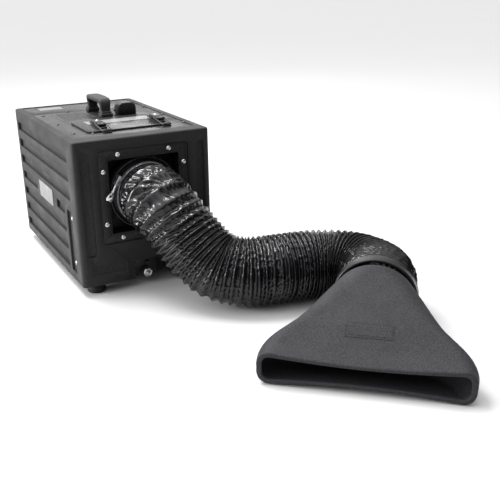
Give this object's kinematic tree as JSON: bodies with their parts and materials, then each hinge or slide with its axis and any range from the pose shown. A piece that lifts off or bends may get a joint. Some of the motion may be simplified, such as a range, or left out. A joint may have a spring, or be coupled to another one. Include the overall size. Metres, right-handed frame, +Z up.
{
  "type": "solder fume extractor",
  "caption": "Portable fume extractor: ribbed moulded cabinet with latched filter hatch, blower and filters, flexible intake hose and a flat fishtail floor nozzle.",
  "frame": {"origin": "on the bench, under the middle of the box round everything but the hose", "axes": "+Z up, -Y out of the cabinet's front where the hose leaves, +X to the right when facing +Y"},
  "size_m": [0.5027, 1.0698, 0.3325],
  "materials": {
    "moulding": "fine-grain black moulding",
    "panel": "dark grey powder coat, semi-gloss",
    "plate": "black powder coat, satin",
    "trim": "smooth black plastic",
    "rubber": "matt black rubber",
    "screws": "bright zinc plating",
    "film": "crinkled glossy black film",
    "nozzle": "dark grey textured plastic",
    "label": "plain satin plate",
    "steel": "brushed",
    "filter": "pleated white fibre",
    "carbon": "black carbon foam",
    "board": "green laminate"
  },
  "bodies": {
    "cabinet": {"housing": "moulding", "carry_handle": "moulding", "foot_front_left": "rubber", "foot_front_right": "rubber", "foot_rear_left": "rubber", "foot_rear_right": "rubber", "top_panel": "panel", "rear_panel": "panel", "rear_label_plate": "label", "side_label_plate": "label", "exhaust_grille": "steel", "switch_base": "trim", "latch_keeper_left": "trim", "latch_keeper_right": "trim", "intake_plate": "plate", "intake_pocket": "trim", "intake_collar": "trim", "intake_screw_1": "screws", "intake_screw_2": "screws", "intake_screw_3": "screws", "intake_screw_4": "screws", "intake_screw_5": "screws", "intake_screw_6": "screws", "intake_screw_7": "screws", "intake_screw_8": "screws", "side_strip_left": "plate", "side_strip_right": "plate", "side_screw_left_upper": "screws", "side_screw_left_lower": "screws", "side_screw_right_upper": "screws", "side_screw_right_lower": "screws", "socket_block": "trim", "socket_ring": "screws", "clamp_band": "steel", "filter_rack": "steel", "fan_bulkhead": "steel", "motor": "steel", "prefilter": "filter", "hepa_filter": "filter", "carbon_filter": "carbon", "blower_scroll": "trim", "power_inlet": "trim", "control_board": "board", "duct_hose": "film"},
    "hatch": {"filter_hatch": "panel", "hatch_gasket": "rubber", "latch_base_left": "trim", "latch_base_right": "trim"},
    "latch_lever_left": {"latch_lever_left": "trim"},
    "latch_lever_right": {"latch_lever_right": "trim"},
    "latch_bail_left": {"latch_bail_left": "steel"},
    "latch_bail_right": {"latch_bail_right": "steel"},
    "switch_cover": {"switch_cover": "trim"},
    "rocker": {"rocker_switch": "rubber"},
    "impeller": {"impeller": "steel"},
    "clamp_screw": {"clamp_screw": "screws"},
    "nozzle": {"nozzle": "nozzle", "nozzle_cuff": "rubber"}
  },
  "joints": [
    {"name": "hatch_hinge", "type": "hinge", "parent": "cabinet", "child": "hatch", "pos_m": [-0.07424, 0.3046, 0.2959], "axis": [-1, 0, 0], "range_deg": [0, 90]},
    {"name": "latch_lever_left_pivot", "type": "hinge", "parent": "hatch", "child": "latch_lever_left", "pos_m": [-0.12624, 0.2046, 0.3043], "axis": [1, 0, 0], "range_deg": [0, 100]},
    {"name": "latch_bail_left_pivot", "type": "hinge", "parent": "latch_lever_left", "child": "latch_bail_left", "pos_m": [-0.12624, 0.2146, 0.3063], "axis": [1, 0, 0], "range_deg": [-100, 0]},
    {"name": "latch_lever_right_pivot", "type": "hinge", "parent": "hatch", "child": "latch_lever_right", "pos_m": [-0.00624, 0.2046, 0.3043], "axis": [1, 0, 0], "range_deg": [0, 100]},
    {"name": "latch_bail_right_pivot", "type": "hinge", "parent": "latch_lever_right", "child": "latch_bail_right", "pos_m": [-0.00624, 0.2146, 0.3063], "axis": [1, 0, 0], "range_deg": [-100, 0]},
    {"name": "switch_cover_hinge", "type": "hinge", "parent": "cabinet", "child": "switch_cover", "pos_m": [-0.03224, 0.3356, 0.3065], "axis": [-1, 0, 0], "range_deg": [0, 95]},
    {"name": "rocker_pivot", "type": "hinge", "parent": "cabinet", "child": "rocker", "pos_m": [-0.03224, 0.3252, 0.3025], "axis": [1, 0, 0], "range_deg": [0, 20]},
    {"name": "impeller_shaft", "type": "hinge", "parent": "cabinet", "child": "impeller", "pos_m": [-0.09024, 0.3566, 0.1405], "axis": [0, 1, 0], "continuous": true},
    {"name": "clamp_screw_turn", "type": "hinge", "parent": "cabinet", "child": "clamp_screw", "pos_m": [-0.13549, 0.1021, 0.21999], "axis": [-0.515, 0, -0.8572], "continuous": true},
    {"name": "nozzle_swivel", "type": "hinge", "parent": "cabinet", "child": "nozzle", "pos_m": [0.15393, -0.28847, 0.0704], "axis": [0.673, 0.7396, 0], "continuous": true}
  ],
  "couplings": [
    {"joint": "latch_bail_left_pivot", "follows": "latch_lever_left_pivot", "ratio": -1},
    {"joint": "latch_bail_right_pivot", "follows": "latch_lever_right_pivot", "ratio": -1}
  ]
}
